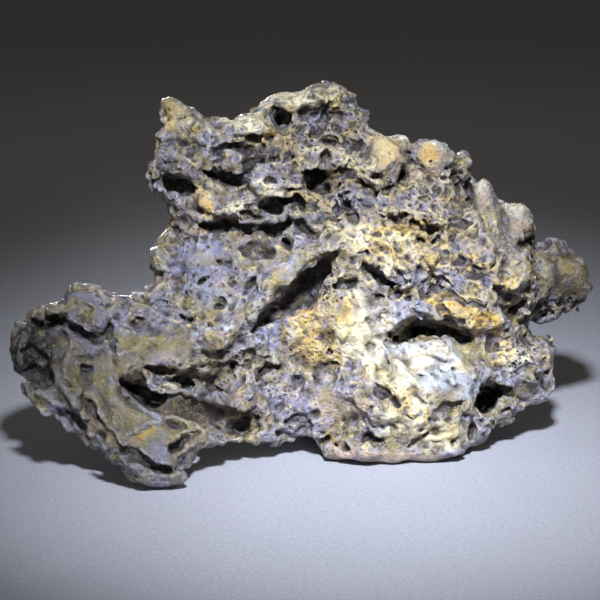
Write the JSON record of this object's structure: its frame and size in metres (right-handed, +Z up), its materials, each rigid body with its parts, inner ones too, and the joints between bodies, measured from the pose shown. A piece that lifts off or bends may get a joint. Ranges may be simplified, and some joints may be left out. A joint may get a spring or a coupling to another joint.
{
  "type": "viewing stone",
  "caption": "Natural display stone: a cavernous, wind-etched lump of glossy rock with a low left arm, a raised crest and a jutting right tip, standing on worn feet.",
  "frame": {"origin": "centre of the bounding box's bottom, on the ground the stone rests on", "axes": "+X along the stone's length, to the right as its display face is seen; -Y towards the viewer, the way the display face looks; +Z up"},
  "size_m": [0.22, 0.1312, 0.1292],
  "materials": {
    "weathered_rock": "glossy, etched and pitted, ochre, cream, grey-lavender and dark brown"
  },
  "bodies": {
    "root": {"viewing_stone": "weathered_rock"}
  },
  "joints": []
}
